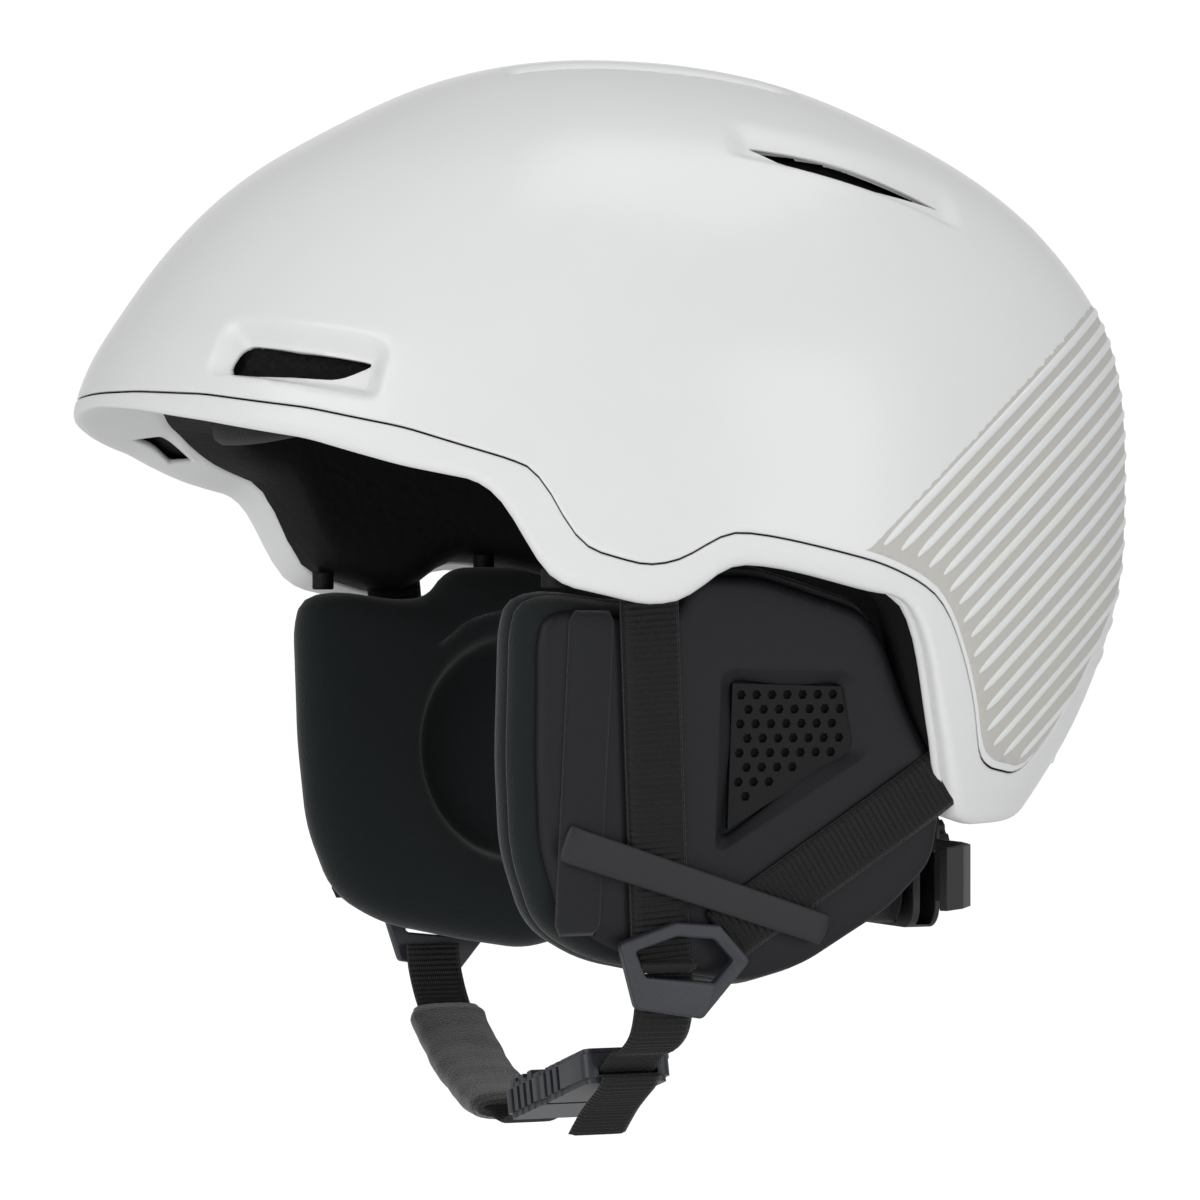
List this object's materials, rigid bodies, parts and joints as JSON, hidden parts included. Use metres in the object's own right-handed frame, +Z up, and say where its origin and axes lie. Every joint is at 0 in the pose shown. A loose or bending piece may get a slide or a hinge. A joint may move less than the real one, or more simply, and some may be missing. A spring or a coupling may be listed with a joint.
{
  "type": "ski helmet",
  "caption": "Hard-shell ski helmet with foam liner, soft ear pads, rear fit dial and a webbing chin strap with release buckle.",
  "frame": {"origin": "middle of the head opening at the height of the temples", "axes": "front faces -Y, the wearer's left is +X, +Z is up through the crown; a head enters from below"},
  "size_m": [0.2218, 0.2876, 0.2822],
  "materials": {
    "upper_shell": "satin white",
    "lower_shell": "matt white",
    "foam": "moulded black foam",
    "screen": "fine black mesh",
    "lining": "brushed knit",
    "ear_fabric": "smooth stretch knit",
    "ear_cover": "soft-touch moulding",
    "webbing": "ribbed webbing",
    "fleece": "short fleece",
    "keeper": "matt rubber",
    "hardware": "fine-textured moulding",
    "cradle": "fine-textured moulding",
    "dial": "fine-textured moulding",
    "metal": "plain"
  },
  "bodies": {
    "helmet": {"top_shell": "upper_shell", "lower_shell": "lower_shell", "eps_liner": "foam", "vent_screens": "screen", "brow_pad": "lining", "crown_pad": "lining", "side_pads": "lining", "nape_pad": "lining", "cradle_housing": "cradle", "cradle_cover": "cradle", "cradle_hanger": "cradle", "front_strap_left": "webbing", "front_strap_right": "webbing", "rear_strap_left": "webbing", "rear_strap_right": "webbing", "strap_keeper_left": "keeper", "strap_keeper_right": "keeper", "divider_left": "hardware", "divider_right": "hardware", "goggle_clip_base": "lower_shell", "goggle_clip_pin": "metal"},
    "dial": {"fit_dial": "dial", "dial_pinion": "cradle", "dial_screw": "metal"},
    "band_left": {"fit_band_left": "cradle"},
    "band_right": {"fit_band_right": "cradle"},
    "ear_pad_left": {"ear_cushion_left": "ear_fabric", "ear_cover_left": "ear_cover", "ear_grille_left": "ear_cover", "ear_stud_left": "hardware"},
    "ear_pad_right": {"ear_cushion_right": "ear_fabric", "ear_cover_right": "ear_cover", "ear_grille_right": "ear_cover", "ear_stud_right": "hardware"},
    "chin_loop": {"chin_strap_left": "webbing", "chin_strap_right": "webbing", "chin_sleeve": "fleece", "buckle_socket": "hardware", "socket_magnet": "metal"},
    "tongue": {"buckle_tongue": "hardware", "tongue_magnet": "metal"},
    "tab": {"release_tab": "hardware"},
    "clip": {"goggle_clip": "lower_shell"}
  },
  "joints": [
    {"name": "dial_turn", "type": "hinge", "parent": "helmet", "child": "dial", "pos_m": [0, 0.09, -0.072], "axis": [0, -1, 0], "range_deg": [0, 150]},
    {"name": "band_left_draw", "type": "slide", "parent": "helmet", "child": "band_left", "axis": [-1, 0, 0], "range_m": [0, 0.0105]},
    {"name": "band_right_draw", "type": "slide", "parent": "helmet", "child": "band_right", "axis": [1, 0, 0], "range_m": [0, 0.0105]},
    {"name": "ear_pad_left_flex", "type": "hinge", "parent": "helmet", "child": "ear_pad_left", "pos_m": [0.09, 0, 0.006], "axis": [0, 1, 0], "range_deg": [0, 14], "stiffness_Nm_per_rad": 0.6, "springref_deg": -5.73},
    {"name": "ear_pad_right_flex", "type": "hinge", "parent": "helmet", "child": "ear_pad_right", "pos_m": [-0.09, 0, 0.006], "axis": [0, -1, 0], "range_deg": [0, 14], "stiffness_Nm_per_rad": 0.6, "springref_deg": -5.73},
    {"name": "chin_loop_swing", "type": "hinge", "parent": "helmet", "child": "chin_loop", "pos_m": [0, -0.017, -0.1], "axis": [1, 0, 0], "range_deg": [-25, 25]},
    {"name": "tongue_pull", "type": "slide", "parent": "chin_loop", "child": "tongue", "axis": [-0.9659, 0, -0.2588], "range_m": [0, 0.01]},
    {"name": "tab_pull", "type": "slide", "parent": "chin_loop", "child": "tab", "axis": [0, 1, 0], "range_m": [0, 0.004], "stiffness_N_per_m": 200, "springref_m": -0.002},
    {"name": "goggle_clip_lift", "type": "hinge", "parent": "helmet", "child": "clip", "pos_m": [0, 0.14392, -0.00385], "axis": [1, 0, 0], "range_deg": [0, 70]}
  ],
  "couplings": [
    {"joint": "band_left_draw", "follows": "dial_turn", "m_per_rad": 0.004},
    {"joint": "band_right_draw", "follows": "dial_turn", "m_per_rad": 0.004}
  ]
}
